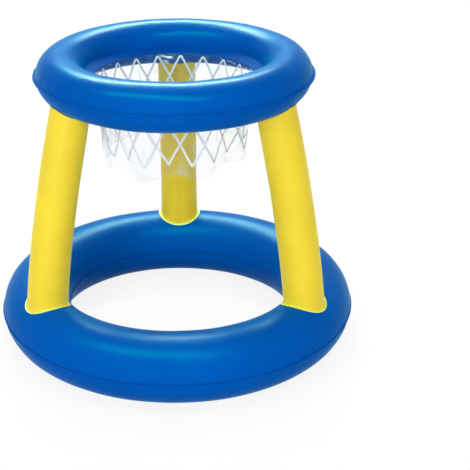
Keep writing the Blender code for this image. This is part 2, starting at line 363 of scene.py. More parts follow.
def objectNoise(tree, scale, detail=2.0, rough=0.5):
    place = result(tree, "ShaderNodeTexCoord", pick="Object")
    return result(tree, "ShaderNodeTexNoise", {"Vector": place, "Scale": scale,
                                               "Detail": detail, "Roughness": rough})


def patches(tree, scale, detail=3.0):
    return ramp(tree, objectNoise(tree, scale, detail), 0.3, 0.7)


def scuffed(tree, scale):
    return ramp(tree, objectNoise(tree, scale, 4, 0.6), 0.35, 0.75)


def scaled(colour, share):
    return [min(1, channel*share) for channel in colour]


def bump(tree, height, strength, distance, under=None):
    inputs = {"Height": height, "Strength": strength, "Distance": distance}
    if under is not None:
        inputs["Normal"] = under
    return result(tree, "ShaderNodeBump", inputs)


def fineGrain(tree, look):
    return bump(tree, objectNoise(tree, look["grainScale"]), look["grain"], look["grainHeight"])


def vinylMaterial(name, look):
    # Calendered vinyl: even colour with faint clouds, a fine grain, pebbled weld bands (on the
    # blue rings darker with painted shade), a cut edge coloured with painted highlight on the hoop
    # and legs and with painted shade on the base ring, and patches that shine a little less
    material, tree, shader = newMaterial(name)
    weld = attributeValue(tree, "weld")
    dark, light = (scaled(look["colour"], share) for share in look["clouds"])
    painted = blendColours(tree, patches(tree, look["cloudScale"]), dark, light)
    painted = blendColours(tree, weld, painted, look["weldColour"])
    painted = blendColours(tree, attributeValue(tree, "trim"), painted, look["trimColour"])
    if "collarColour" in look:
        collar = ramp(tree, attributeValue(tree, "collar"), -look["collarFade"],
                      look["collarFade"])
        painted = blendColours(tree, collar, painted, look["collarColour"])
    rough = calc(tree, "MULTIPLY_ADD", scuffed(tree, look["scuffScale"]), look["scuffs"],
                 look["roughness"] - look["scuffs"]/2)
    rough = calc(tree, "MULTIPLY_ADD", weld, look["weldRoughness"], rough)
    place = result(tree, "ShaderNodeTexCoord", pick="Object")
    pebbles = result(tree, "ShaderNodeTexVoronoi",
                     {"Vector": place, "Scale": look["pebbleScale"]})
    strength = calc(tree, "MULTIPLY", weld, look["weldGrain"])
    feed(tree, shader, {
        "Base Color": painted, "Roughness": rough, "Specular IOR Level": look["specular"],
        "Specular Tint": look["gloss"], "Sheen Weight": look["sheen"],
        "Sheen Roughness": look["sheenSpread"], "Sheen Tint": look["sheenColour"],
        "Normal": bump(tree, pebbles, strength, look["pebbleHeight"], fineGrain(tree, look))})
    return material


def filmMaterial(name, look):
    # Thin clear film: it shows most where it creases, and it carries painted highlights:
    # near-white glints where it crumples
    material, tree, shader = newMaterial(name)
    creased, glint = attributeValue(tree, "crease"), attributeValue(tree, "glint")
    hazy = blendColours(tree, creased, look["colour"], look["creaseColour"])
    haze = scuffed(tree, look["hazeScale"])
    cover = calc(tree, "MULTIPLY_ADD", creased, look["thick"] - look["thin"], look["thin"])
    cover = calc(tree, "MULTIPLY_ADD", haze, look["haze"], cover)
    crinkle = objectNoise(tree, look["crinkleScale"], 3, 0.55)
    feed(tree, shader, {
        "Base Color": blendColours(tree, glint, hazy, look["paintedGlintColour"]),
        "Roughness": calc(tree, "MULTIPLY_ADD", haze, look["roughSpread"], look["roughness"]),
        "Alpha": calc(tree, "MAXIMUM", cover, calc(tree, "MULTIPLY", glint, look["glint"])),
        "Specular IOR Level": look["specular"],
        "Normal": bump(tree, crinkle, look["crinkle"], look["crinkleHeight"])})
    return material


def patchyMaterial(name, look):
    # Ink, or clear vinyl gone a little milky: faint patches and a fine grain
    material, tree, shader = newMaterial(name)
    patch = patches(tree, look["patchScale"])
    shade = scaled(look["colour"], look["shade"])
    feed(tree, shader, {
        "Base Color": blendColours(tree, patch, shade, look["colour"]),
        "Roughness": calc(tree, "MULTIPLY_ADD", patch, look["roughSpread"], look["roughness"]),
        "Specular IOR Level": look["specular"], "Normal": fineGrain(tree, look)})
    if "cover" in look:
        cover = calc(tree, "MULTIPLY_ADD", patch, look["coverSpread"], look["cover"])
        feed(tree, shader, {"Alpha": cover})
    return material


blueMaterial = vinylMaterial("blue vinyl", blueVinyl)
baseMaterial = vinylMaterial("base vinyl", baseVinyl)
yellowMaterial = vinylMaterial("yellow vinyl", yellowVinyl)
clearMaterial = filmMaterial("clear film", clearFilm)
inkWhite = patchyMaterial("white net print", whiteInk)
valveClear = patchyMaterial("valve vinyl", clearVinyl)
print("materials made")


# Inflated rings

sheetGap = 0.00004  # between two welded sheets
baseRing = {
    "coreRadius": 0.246,
    "tubeRadius": 0.057,
    "coreHeight": 0.0565,
    "outerEdge": 0.002,
    "innerEdge": 0.002,
    "innerDrop": 0.0,
    "outerRise": 0.0005 + sheetGap,
    "innerRise": 0.0005 + sheetGap,
    "fillet": 0.0009,
    "wall": 0.0005,
    "segments": 600,
    "rippleHeight": 0.00045,
    "rippleSpacing": 0.019,
    "waveHeight": 0.0002,
    "swellHeight": 0.0005,
    "swellSpacing": 0.110,
    "seed": 3.0,
}
hoopRing = dict(
    baseRing,
    coreRadius=0.188,
    tubeRadius=0.0385,
    coreHeight=0.4695,
    outerEdge=0.0045,
    innerEdge=0.0152,
    innerDrop=0.0085,
    innerRise=0.0006 + sheetGap,
    fillet=0.0016,
    segments=480,
    rippleSpacing=0.016,
    waveHeight=0.0007,
    swellHeight=0.0004,
    swellSpacing=0.090,
    seed=11.0,
)
skinShape = {
    "arcSteps": 34,
    "innerSteps": 16,
    "filletSteps": 4,
    "flangeSteps": 3,
    "edgeChamfer": 0.00015,
    "rippleReach": 0.006,  # how far from the seam the puckers stand highest
    "swellReach": 0.018,
    "innerTuck": 0.6,  # the wall's inside ends this share of the fillet's angle past the seam
    "flatShare": 0.97,  # the base stands flat below this share of its depth
}


def seamPoints(ring, shape, side, drop):
    # One skin's seam edge from its cut end to the tube: (out, up, ripple, swell, wave, weld,
    # trim), with out away from the tube and the edge drooping by drop. Also the section angle
    # above the seam at which the fillet meets the tube.
    radius, wall, fillet = ring["tubeRadius"], ring["wall"], ring["fillet"]
    rise, width = ring[side + "Rise"], ring[side + "Edge"]
    slope = atan2(drop, width)
    along = Vector((cos(slope), -sin(slope)))
    over = Vector((sin(slope), cos(slope)))
    # The fillet's middle touches the edge's upper face and the tube
    lift = rise + fillet
    foot = Vector((radius, 0)) + over*lift
    reach = -foot.dot(along) + sqrt(foot.dot(along)**2 - foot.length_squared
                                    + (radius + fillet)**2)
    middle = foot + along*reach
    start = atan2(middle.y, middle.x)
    end = width/cos(slope)
    chamfer = shape["edgeChamfer"]

    def at(run, height):
        return Vector((radius, 0)) + along*run + over*height

    line = [(at(end - chamfer/2, rise - wall), 1, 1, 1), (at(end, rise - wall + chamfer), 1, 1, 1),
            (at(end, rise - chamfer), 1, 1, 1), (at(end - chamfer, rise), 1, 1, 0.6)]
    for run in spread(end - 2*chamfer, reach, shape["flangeSteps"]):
        line.append((at(run, rise), (run - reach)/(end - reach), 1, 0))
    first, last = -pi/2 - slope, start - pi
    for bend in spread(first, last, shape["filletSteps"])[1:-1]:
        line.append((middle + Vector((cos(bend), sin(bend)))*fillet, 0, 0.6, 0))
    return [(p.x, p.y, 0, 0, wave, weld, trim) for p, wave, weld, trim in line], start


def sectionPoints(ring, shape, side):
    # One skin's section from the inner cut edge over the tube to the outer one and back
    # inside, with the tube's middle at 0, 0; side is 1 for the upper skin, -1 for the lower
    radius, wall = ring["tubeRadius"], ring["wall"]
    innerLine, innerStart = seamPoints(ring, shape, "inner", side*ring["innerDrop"])
    outerLine, outerStart = seamPoints(ring, shape, "outer", 0)
    innerLine = [(-out, *rest) for out, *rest in innerLine]

    def arc(reach, first, last, steps, sign):
        # With the share of the ripples and of the swells that each point takes
        points = []
        for section in spread(first, last, steps):
            ripples, swell = 0, 1
            for run in ((section - outerStart)*radius, (pi - innerStart - section)*radius):
                run = max(0, run)
                ripples += run/shape["rippleReach"]*exp(1 - run/shape["rippleReach"])
                swell *= 1 - exp(-(run/shape["swellReach"])**2)
            points.append((reach*cos(section), reach*sin(section), sign*ripples, sign*swell,
                           0, 0, 0))
        return points

    hollow = radius - wall
    first, last = asin((ring["outerRise"] - wall)/hollow), pi - innerStart*shape["innerTuck"]
    if side*ring["innerDrop"] <= 0:
        last = pi - asin((ring["innerRise"] - wall)/hollow)
    points = (innerLine + arc(radius, pi - innerStart, outerStart, shape["arcSteps"], 1)
              + outerLine[::-1] + arc(hollow, first, last, shape["innerSteps"], -1))
    if side < 0:
        points = [(out, -up, *rest) for out, up, *rest in reversed(points)]
    return points


def skinTree():
    # Turns the section round the ring, then raises puckers beside the seams, a wave along the
    # cut edges and broad soft swells
    tree, given = modifierTree("inflatedSkin", [
        "geometry", "segments", "coreRadius", "coreHeight", "rippleHeight", "rippleSpacing",
        "waveHeight", "swellHeight", "swellSpacing", "seed", "edgeSeed", "material"])
    section = grow(tree, "MeshToCurve", {0: given["geometry"]})
    path = grow(tree, "CurvePrimitiveCircle",
                {"Resolution": given["segments"], "Radius": given["coreRadius"]})
    tube = grow(tree, "CurveToMesh", {"Curve": path, "Profile Curve": section})
    position = grow(tree, "InputPosition")
    flat = vectorCalc(tree, "NORMALIZE", vectorCalc(tree, "MULTIPLY", position, (1, 1, 0)))
    around = vectorCalc(tree, "SCALE", flat, scale=given["coreRadius"])

    def uneven(form, place, spacing, seed):
        # A cloud between about -1 and 1, as high as the form's attribute and height let it be
        spaced = vectorCalc(tree, "SCALE", place, scale=calc(tree, "DIVIDE", 1.0, given[spacing]))
        lift = vector(tree, z=calc(tree, "MULTIPLY", given[seed], 7.3))  # clear of other seeds
        place = vectorCalc(tree, "ADD", spaced, lift)
        cloud = result(tree, "ShaderNodeTexNoise", {"Vector": place, "Scale": 1.0, "Detail": 1.0})
        height = calc(tree, "MULTIPLY", named(tree, form), given[form + "Height"])
        return calc(tree, "MULTIPLY", calc(tree, "MULTIPLY_ADD", cloud, 4.0, -2.0), height)

    puckers = uneven("ripple", around, "rippleSpacing", "seed")
    swells = uneven("swell", position, "swellSpacing", "seed")
    waves = uneven("wave", around, "rippleSpacing", "edgeSeed")
    outwards = vectorCalc(tree, "SCALE", grow(tree, "InputNormal"),
                          scale=calc(tree, "ADD", puckers, swells))
    upwards = vector(tree, z=calc(tree, "ADD", waves, given["coreHeight"]))
    moved = grow(tree, "SetPosition",
                 {"Geometry": tube, "Offset": vectorCalc(tree, "ADD", outwards, upwards)})
    endTree(tree, moved, given["material"])
    return tree


def ringSkin(name, ring, side, tree, material):
    rows = sectionPoints(ring, skinShape, side)
    lowest = -ring["coreHeight"] if ring is baseRing else -1
    points = []
    for out, up, *rest in rows:
        if up < lowest*skinShape["flatShare"]:
            rest[0] = rest[1] = 0
        points.append((out, max(up, lowest), *rest))
    mesh = bpy.data.meshes.new(name)
    count = len(points)
    # Curve to Mesh lays the section's Y axis along -Z
    mesh.from_pydata([(row[0], -row[1], 0) for row in points],
                     [(i, (i + 1) % count) for i in range(count)], [])
    for i, key in enumerate(("ripple", "swell", "wave", "weld", "trim")):
        giveAttribute(mesh, key, [row[i + 2] for row in points])
    return grownMesh(newItem(name, mesh), tree, dict(
        ring, seed=ring["seed"] + side, edgeSeed=ring["seed"] + 5, material=material))


def directions(angle):
    return Vector((cos(angle), sin(angle), 0)), Vector((-sin(angle), cos(angle), 0))


def onTube(ring, angle, section, lift):
    # Points a lift above a ring's tube: angle round the ring, section up from its outer seam
    reach = ring["tubeRadius"] + lift
    radius = ring["coreRadius"] + reach*np.cos(section)
    return polar(radius, angle, ring["coreHeight"] + reach*np.sin(section))


def valveSeat(ring, angle, rise):
    # Z points out of the ring and Y up the tube
    outward, along = directions(angle)
    up = Vector((0, 0, 1))
    normal = outward*cos(rise) + up*sin(rise)
    slope = up*cos(rise) - outward*sin(rise)
    place = Vector(onTube(ring, angle, rise, 0))
    return Matrix.Translation(place) @ Matrix((along, slope, normal)).transposed().to_4x4()


def fromShape(name, shape):
    mesh = bpy.data.meshes.new(name)
    shape.to_mesh(mesh)
    shape.free()
    return newItem(name, mesh)


def combined(operation, item, *others):
    for other in others:
        modifier = item.modifiers.new(operation.title(), "BOOLEAN")
        modifier.operation = operation
        modifier.object = other
    frozen(item)
    for other in others:
        bpy.data.objects.remove(other)
    return item


def cutRound(skin, places, shape):
    # Round holes through a skin, each place a matrix with Z along the hole and a radius
    cutter = bmesh.new()
    for place, radius in places:
        bmesh.ops.create_cone(cutter, cap_ends=True, segments=shape["sides"], radius1=radius,
                              radius2=radius, depth=shape["depth"], matrix=place)
    combined("DIFFERENCE", skin, fromShape("holes", cutter))


legAngles = {"leg_left": radians(210), "leg_right": radians(330), "leg_rear": radians(90)}
valvePlaces = {
    "base": {"ring": baseRing, "angle": radians(125), "rise": radians(32)},
    "hoop": {"ring": hoopRing, "angle": radians(55), "rise": radians(38)},
}
holes = {"valveHole": 0.0071, "airPort": 0.007, "sides": 48, "depth": 0.008}

skinNodes = skinTree()
skins = {}
for key, ring, material in (("base", baseRing, baseMaterial), ("hoop", hoopRing, blueMaterial)):
    for half, side in (("upper", 1), ("lower", -1)):
        name = f"{key}_ring_{half}"
        skins[name] = ringSkin(name, ring, side, skinNodes, material)
seats = {key: valveSeat(**place) for key, place in valvePlaces.items()}
ports = [(Matrix.Translation(onTube(baseRing, angle, pi/2, 0)), holes["airPort"])
         for angle in legAngles.values()]
cutRound(skins["base_ring_upper"], ports + [(seats["base"], holes["valveHole"])], holes)
cutRound(skins["hoop_ring_upper"], [(seats["hoop"], holes["valveHole"])], holes)
for name, skin in skins.items():
    seat(skin, "frame", name + "_skin")
print("rings made:", [len(skin.data.polygons) for skin in skins.values()])


# Legs

legShape = {
    "radius": 0.0330,
    "wall": 0.0005,
    "footFlare": 0.0015,
    "footWeld": 0.0045,
    "headWeld": 0.003,
    "trim": 0.0018,  # how far the cut edge's paler colour, a painted highlight, reaches in
    "trimFade": 0.0005,
    "collarHeight": 0.4398,  # the hoop's blue skin comes down to here
    "collarSlope": 0.157,  # rise of the collar per metre away from the hoop's middle
    "collarWeld": 0.0015,
    "bow": 0.005,
    "footLift": 0.0009,
    "headLift": 0.0010,
    "blendShare": 0.32,  # of the length, where the tube takes on a ring's round
    "fillet": 0.0022,
    "lapWidth": 0.008,
    "lapEdge": 0.0008,
    "lapHeight": 0.0005,
    "lapFade": 60,  # the lap fades in over the length divided by this, at both ends
    "lapTint": 0.5,  # how much the lap looks like a weld
    "columns": 168,
    "tubeRows": 74,
    "bendRows": 6,
    "footRows": 8,
    "headRows": 6,
    "rowCrowding": 0.06,  # how much closer the rows lie at both ends
    "firstRow": 1.6,  # in fillets from the end
    "wrinkleHeight": 0.0006,
    "wrinkleReach": 0.009,
    "wrinkleCounts": (7, 11, 13, 17, 19, 23, 29),
    "swellHeight": 0.0005,
    "swellLength": 0.075,
    "swellTurn": 0.7,  # round the tube, in the noise's own length
    "swellFade": 8,
}


def legWall(angle, inset, s, seed):
    # Rows of points from the foot's cut edge up the tube to the head's, with the weld, trim
    # and lap shares of each row
    outwards, along = (np.array(v) for v in directions(angle))
    turns = circle(s.columns)
    radius = s.radius + s.wall - inset
    footEnd = (baseRing, 1, s.footLift)
    headEnd = (hoopRing, -1, s.headLift)

    def wrapped(end, reach):
        # A circle about the leg's middle laid on the ring's round tube
        ring, side, lift = end
        bend = reach*np.cos(turns)/ring["tubeRadius"]
        around = ring["coreRadius"] + ring["tubeRadius"]*np.sin(bend)
        return onTube(ring, angle + reach*np.sin(turns)/around, side*(pi/2 - bend),
                      lift + s.wall - inset)

    foot, head = (onTube(ring, angle, side*pi/2, lift) for ring, side, lift in (footEnd, headEnd))
    footRadius = radius + s.footFlare
    footRoot, headRoot = wrapped(footEnd, footRadius), wrapped(headEnd, radius)
    length = float(np.linalg.norm(head - foot))
    band = smoothStep((s.lapWidth/2 + s.lapEdge - np.abs(turns - pi)*radius)/s.lapEdge)
    folds = [ripple(turns, s.wrinkleCounts, seed + i) for i in range(2)]

    def fade(share, steepness):
        return min(1, share*steepness, (1 - share)*steepness)

    def tubeRow(share):
        arch = 4*share*(1 - share)
        centre = foot + (head - foot)*share + outwards*s.bow*arch
        climb = head - foot + outwards*s.bow*4*(1 - 2*share)
        across = np.cross(along, climb)
        across /= np.linalg.norm(across)
        nearFoot, nearHead = (max(0, 1 - away/s.blendShare)**2 for away in (share, 1 - share))
        reach = radius + s.lapHeight*band*fade(share, s.lapFade)
        for fold, run in zip(folds, (share*length, (1 - share)*length)):
            swing = run/s.wrinkleReach*exp(1 - run/s.wrinkleReach)
            reach += s.wrinkleHeight*swing*fold
        up = share*length/s.swellLength
        soft = np.array([noise.noise(Vector((cos(t)*s.swellTurn + seed, sin(t)*s.swellTurn, up)))
                         for t in turns])
        reach += s.swellHeight*soft*fade(share, s.swellFade)
        ring = (centre + np.outer(np.cos(turns)*reach, across)
                + np.outer(np.sin(turns)*reach, along))
        return ring*(1 - nearFoot - nearHead) + footRoot*nearFoot + headRoot*nearHead

    rows = []  # each with its weld and trim

    def flange(end, root, width, reaches):
        for reach in reaches:
            trim = np.clip((reach - width + s.trim)/s.trimFade, 0, 1)
            rows.append((wrapped(end, root + reach), 1.0, float(trim)))

    def bend(first, corner, last, towardsTube):
        for t in spread(0, 1, s.bendRows):
            rows.append((first*(1 - t)**2 + corner*2*t*(1 - t) + last*t*t,
                         1 - t if towardsTube else t, 0.0))

    fillet, footWeld, headWeld = s.fillet, s.footWeld, s.headWeld
    share = fillet/length
    flange(footEnd, footRadius, footWeld, spread(footWeld, fillet, s.footRows)[:-1])
    bend(wrapped(footEnd, footRadius + fillet), footRoot, tubeRow(share), True)
    shares = np.linspace(0, 1, s.tubeRows + 1)
    shares = shares - s.rowCrowding*np.sin(4*pi*shares)/(4*pi)
    low, high = share*s.firstRow, 1 - share*s.firstRow
    rows += [(tubeRow(float(place)), 0.0, 0.0) for place in low + (high - low)*shares]
    bend(tubeRow(1 - share), headRoot, wrapped(headEnd, radius + fillet), False)
    flange(headEnd, radius, headWeld, spread(fillet, headWeld, s.headRows)[1:])
    points, welds, trims = (np.array(part) for part in zip(*rows))
    return points, welds, trims, np.outer(1 - welds, band)


def makeLeg(name, angle, s, seed):
    outer, welds, trims, lap = legWall(angle, 0, s, seed)
    inner = legWall(angle, s.wall, s, seed)[0]
    grid = np.concatenate([outer, inner[::-1]])
    none = np.zeros(inner.shape[:2])
    weld = np.concatenate([welds[:, None] + s.lapTint*lap, none])
    trim = np.concatenate([trims[:, None] + none, none])
    trim[-1], trim[len(outer)] = 1, 1
    out = grid @ np.array(directions(angle)[0]) - hoopRing["coreRadius"]
    above = grid[:, :, 2] - s.collarHeight - s.collarSlope*out
    trim[above > 0] = 0
    seam = np.exp(-((above + s.collarWeld)/s.collarWeld)**2)
    weld = np.clip(np.maximum(weld*(above < 0), seam), 0, 1)
    leg = ringMesh(name + "_skin", grid, yellowMaterial, weld=weld, trim=trim, collar=above)
    seat(leg, "frame", name)


for i, (name, angle) in enumerate(legAngles.items()):
    makeLeg(name, angle, SimpleNamespace(**legShape), 20 + 3*i)
print("legs made")


# Net film and its printed net

filmShape = {
    "seamRadius": 0.1343,
    "seamSlope": 0.0085/0.0152,
    "hangRadius": 0.1337,
    "hangHeight": 0.461,
    "hemRadius": 0.119,
    "length": 0.1315,
    "bendRadius": 0.002,
    "weldWidth": 0.005,
    "thickness": 0.00016,
    "foldDepth": 0.0080,
    "foldCount": 8,
    "slowCount": 2,
    "hemTilt": 0.006,  # the hem hangs lower on the left
    "hemWave": 0.003,
    "gatherHeight": 0.0007,
    "gatherCounts": (23, 31, 37, 43, 52),
    "gatherReach": 0.22,  # share of the film's length
    "crumple": 0.0014,
    "crumpleSpacing": 0.038,
    "crumpleLength": 2.2,  # how much longer a crumple is than it is wide
    "crumpleRise": 3,
    "fineCrumples": 2.6,  # how many times finer the second set of crumples is
    "fineHeight": 0.8,
    "meanRidge": 0.45,
    "seamAngle": radians(94),
    "seamWidth": 0.014,
    "seamReach": 0.16,  # shares of the length here and in sideReach
    "seamCrumple": 0.0030,
    "seamRise": 40,
    "seamCrease": 0.6,
    # how strong the painted highlights are at the seam and near the mouth's two ends
    "seamGlint": 1.6,
    "sideReach": 0.14,
    "sideGlint": 0.9,
    "gatherCrease": 0.5,
    "hemCrease": 0.7,
    "glintLength": 0.012,
    "glintWidth": 0.0035,
    "hemLine": 0.010,  # share of the film's length that shows as a pale hem
    "columns": 600,
    "rows": 72,
    "rowCrowding": 1.35,  # above 1 the rows lie closer near the top
    "flat": (0.88, 0.137),
    "seed": 5,
}


def filmShares(s):
    return [share**s.rowCrowding for share in spread(1, 0, s.rows)]


def filmSurface(s, lift):
    # The film from its hem up to its bend over the seam edge, a lift outside the middle of
    # its thickness, and how creased it is and how strong its painted highlights (glints) are at
    # each point
    turns = circle(s.columns)
    spacing, finer = s.crumpleSpacing, s.fineCrumples
    mean = (s.hangRadius + s.hemRadius)/2
    gathers = ripple(turns, s.gatherCounts, s.seed)
    fromSeam = np.abs(np.angle(np.exp(1j*(turns - s.seamAngle))))*mean
    waves = -np.cos(s.foldCount*turns) - np.cos(s.slowCount*turns)/2
    sides = np.cos(turns)**2*(np.sin(turns) > 0)

    def cloud(drop, wide, tall):
        return np.array([noise.noise(Vector((cos(t)*mean/wide, sin(t)*mean/wide,
                                             float(d)/tall + s.seed)))
                         for t, d in zip(turns, drop)])

    rows, creases, glints = [], [], []
    for share in filmShares(s):
        drop = s.bendRadius + (s.length - s.bendRadius)*share
        drop += share*(s.hemWave*waves - s.hemTilt*np.cos(turns))
        coarse = cloud(drop, spacing, spacing*s.crumpleLength)
        fine = cloud(drop, spacing/finer, spacing*s.crumpleLength/finer)
        ribbons = cloud(drop, s.glintLength, s.glintWidth)
        ridges = 1 - 2*np.abs(coarse) - s.fineHeight*np.abs(fine)
        radius = s.hangRadius + (s.hemRadius - s.hangRadius)*share
        radius = radius + s.foldDepth*share*waves + lift
        crumpled = s.crumple*min(1, share*s.crumpleRise)
        radius += crumpled*(ridges - s.meanRidge)
        gathered = sin(pi*min(1, share/s.gatherReach))
        radius += gathers*s.gatherHeight*gathered
        bunched = np.exp(-(fromSeam/s.seamWidth)**2)*max(0, 1 - share/s.seamReach)
        pressed = min(1, share*s.seamRise)
        radius += s.seamCrumple*bunched*ribbons*pressed
        rows.append(polar(radius, turns, s.hangHeight - drop))
        crease = smoothStep((ridges - 0.5)/0.45)*(0.25 + 0.75*smoothStep(share*2))
        crease += s.seamCrease*bunched
        crease += s.gatherCrease*smoothStep((gathers - 0.6)/0.6)*gathered
        if share > 1 - s.hemLine:
            crease += s.hemCrease
        creases.append(np.clip(crease, 0, 1))
        # Painted highlights: glint ribbons on the seam's bunched film and near the mouth's two
        # ends
        bright = np.clip(bunched*s.seamGlint, 0, 1)
        bright += s.sideGlint*sides*max(0, 1 - share/s.sideReach)
        glints.append(np.clip(bright, 0, 1)*smoothStep((ribbons - 0.10)/0.16))
    return rows, creases, glints


def makeFilm(s):
    half = s.thickness/2
    outer, creases, glints = filmSurface(s, half)
    inner = filmSurface(s, -half)[0]
    slope, near = s.seamSlope, s.seamRadius
    far, bend = near + s.weldWidth, s.hangRadius + half

    def held(radius, side):
        height = s.hangHeight + (radius - near)*slope + side*half*sqrt(1 + slope**2)
        return polar(radius, circle(s.columns), height)

    over = [held(bend + half, -1), held(near, -1), held(far, -1), held(far, 1), held(near, 1),
            held(bend - half, 1)]
    grid = np.array(outer + over + inner[::-1])
    blank = [np.zeros(s.columns)]*len(over)
    film = ringMesh("net_film_sheet", grid, clearMaterial, crease=creases + blank + creases[::-1],
                    glint=glints + blank + glints[::-1])
    seat(film, "frame", "net_film")
    return film


hung = SimpleNamespace(**filmShape)
film = makeFilm(hung)

netPrint = {
    "count": 21,  # peaks round the film
    "turn": 0.0113,  # radians from +X to the first peak
    "peakDrop": 0.0002,
    "footDrop": 0.1110,
    "run": 1.5,  # how many peaks a line crosses on its way down
    "lineWidth": 0.0037,
    "inkHeight": 0.00010,
    "peakRound": 0.0022,
    "step": 0.0022,
    "lift": 0.00012,
    "crossing": 0.00006,  # how much higher a line's end lies than its start
}


def netTree():
    # Repeats one line of the print round the film and lays it on the film's outer face
    tree, given = modifierTree("netPrint", [
        "geometry", "film", "count", "turn", "around", "down", "lineWidth", "inkHeight",
        "peakRound", "step", "lift", "crossing", "material"])
    line = grow(tree, "MeshToCurve", {0: given["geometry"]})
    line = grow(tree, "FilletCurve",
                {"Curve": line, "Radius": given["peakRound"], "Count": 5}, mode="POLY")
    line = grow(tree, "ResampleCurve", {"Curve": line, "Length": given["step"]}, mode="LENGTH")
    line = grow(tree, "SetCurveNormal", {"Curve": line}, mode="Z_UP")
    along = grow(tree, "SplineParameter", pick="Factor")
    line = grow(tree, "StoreNamedAttribute", {"Geometry": line, "Name": "along", "Value": along},
                data_type="FLOAT", domain="POINT")
    section = grow(tree, "CurvePrimitiveQuadrilateral",
                   {"Width": given["lineWidth"], "Height": given["inkHeight"]})
    section = grow(tree, "SubdivideCurve", {"Curve": section, "Cuts": 2})
    bar = grow(tree, "CurveToMesh", {"Curve": line, "Profile Curve": section, "Fill Caps": True})
    pitch = calc(tree, "DIVIDE", given["around"], given["count"])
    first = calc(tree, "MULTIPLY", given["around"], calc(tree, "DIVIDE", given["turn"], 2*pi))
    starts = grow(tree, "MeshLine",
                  {"Count": given["count"], "Start Location": vector(tree, first),
                   "Offset": vector(tree, pitch)})
    copies = grow(tree, "InstanceOnPoints", {"Points": starts, "Instance": bar})
    net = grow(tree, "RealizeInstances", {0: copies})
    x, y, z = addNode(tree, "ShaderNodeSeparateXYZ", {0: grow(tree, "InputPosition")}).outputs
    spot = vector(tree, calc(tree, "FRACT", calc(tree, "DIVIDE", x, given["around"])),
                  calc(tree, "DIVIDE", y, given["down"]))
    film = grow(tree, "ObjectInfo", {"Object": given["film"]}, "Geometry")
    chart = named(tree, "chart", "FLOAT_VECTOR")

    def onFilm(kind):
        return grow(tree, "SampleUVSurface", {"Mesh": film, "Value": grow(tree, kind),
                                            "UV Map": chart, "Sample UV": spot},
                    data_type="FLOAT_VECTOR")

    # The print's second stroke lies just over its first where two lines cross
    over = calc(tree, "MULTIPLY_ADD", named(tree, "along"), given["crossing"], given["lift"])
    raised = vectorCalc(tree, "SCALE", onFilm("InputNormal"), scale=calc(tree, "ADD", z, over))
    laid = vectorCalc(tree, "ADD", onFilm("InputPosition"), raised)
    moved = grow(tree, "SetPosition", {"Geometry": net, "Position": laid})
    endTree(tree, moved, given["material"])
    return tree


def chartedFilm(s):
    # One face of the film with a chart of where each point lies: turns round, share down
    rows = np.array(filmSurface(s, s.thickness/2)[0])
    rows = np.concatenate([rows, rows[:, :1]], axis=1)  # the chart needs its own last column
    mesh = gridMesh("film chart", rows, False)
    u, v = np.meshgrid(np.linspace(0, 1, rows.shape[1]), filmShares(s))
    chart = mesh.attributes.new("chart", "FLOAT_VECTOR", "POINT")
    chart.data.foreach_set("vector", np.stack([u, v, 0*u], -1).astype(np.float32).ravel())
    return newItem("film chart", mesh)


def makeNetPrint(shape, ground):
    around = 2*pi*ground.hangRadius
    reach = shape["run"]*(around/shape["count"])
    mesh = bpy.data.meshes.new("net_print")
    mesh.from_pydata([(-reach, shape["footDrop"], 0), (0, shape["peakDrop"], 0),
                      (reach, shape["footDrop"], 0)], [(0, 1), (1, 2)], [])
    net, chart = newItem("net_print", mesh), chartedFilm(ground)
    grownMesh(net, netTree(), dict(shape, film=chart, around=around, down=ground.length,
                                   material=inkWhite))
    bpy.data.objects.remove(chart)
    faceOutwards(net)
    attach(net, "frame")
    return net


net = makeNetPrint(netPrint, hung)
print("net made:", len(net.data.polygons))


# Air valves

valveShape = {
    "sides": 56,
    "flangeRadius": 0.015,
    "flangeThickness": 0.0008,
    "seatRadius": 0.008,
    "stemRadius": 0.005,
    "boreRadius": 0.0031,
    "rimRadius": 0.0062,
    "rimThickness": 0.0012,
    "lipRadius": 0.0065,
    "lipThickness": 0.001,
    "travel": 0.012,
    "capRadius": 0.0056,
    "capThickness": 0.0014,
    "capDish": 0.0003,
    "spigotRadius": 0.0028,
    "tipRadius": 0.0021,
    "spigotLength": 0.0045,
    "strapWidth": 0.0032,
    "strapThickness": 0.001,
    "strapReach": 0.0086,
    "tabLength": 0.0022,
    "ribCount": 2,
    "ribPitch": 0.0007,
    "ribRun": (0.0005, 0.0002),  # in from the tab's end
    "ribRise": (0.0008, 0.00125),
    "ribRounding": 0.00008,
    "flapRadius": 0.0042,
    "flapThickness": 0.0006,
    "gap": 0.0003,
    "rounding": 0.00022,
    "weldRings": 4,
    "weldRingHeight": 0.00012,
    "bendLength": 0.004,  # over which the flange goes from level to the ring's round
}
valve = SimpleNamespace(**valveShape)
valve.lift = valve.gap + (valve.flangeRadius/2)**2/(4*hoopRing["tubeRadius"])
valve.rimBottom = valve.lift + valve.flangeThickness + valve.gap
valve.rimTop = valve.rimBottom + valve.rimThickness
valve.lipTop = valve.lift - valve.gap - valve.travel
valve.lipBottom = valve.lipTop - valve.lipThickness
valve.capBottom = valve.rimTop + valve.gap
valve.capTop = valve.capBottom + valve.capThickness


def rounded(points, radius):
    # Takes each corner of a profile off with a short arc
    line = []
    for i, point in enumerate(points):
        corner = Vector(point)
        before, after = Vector(points[i - 1]), Vector(points[(i + 1) % len(points)])
        if corner.x == 0:
            line.append(corner)
            continue
        cut = min(radius, (before - corner).length/3, (after - corner).length/3)
        start = corner + (before - corner).normalized()*cut
        end = corner + (after - corner).normalized()*cut
        for t in spread(0, 1, 3):
            line.append(start*(1 - t)**2 + corner*2*t*(1 - t) + end*t*t)
    return line


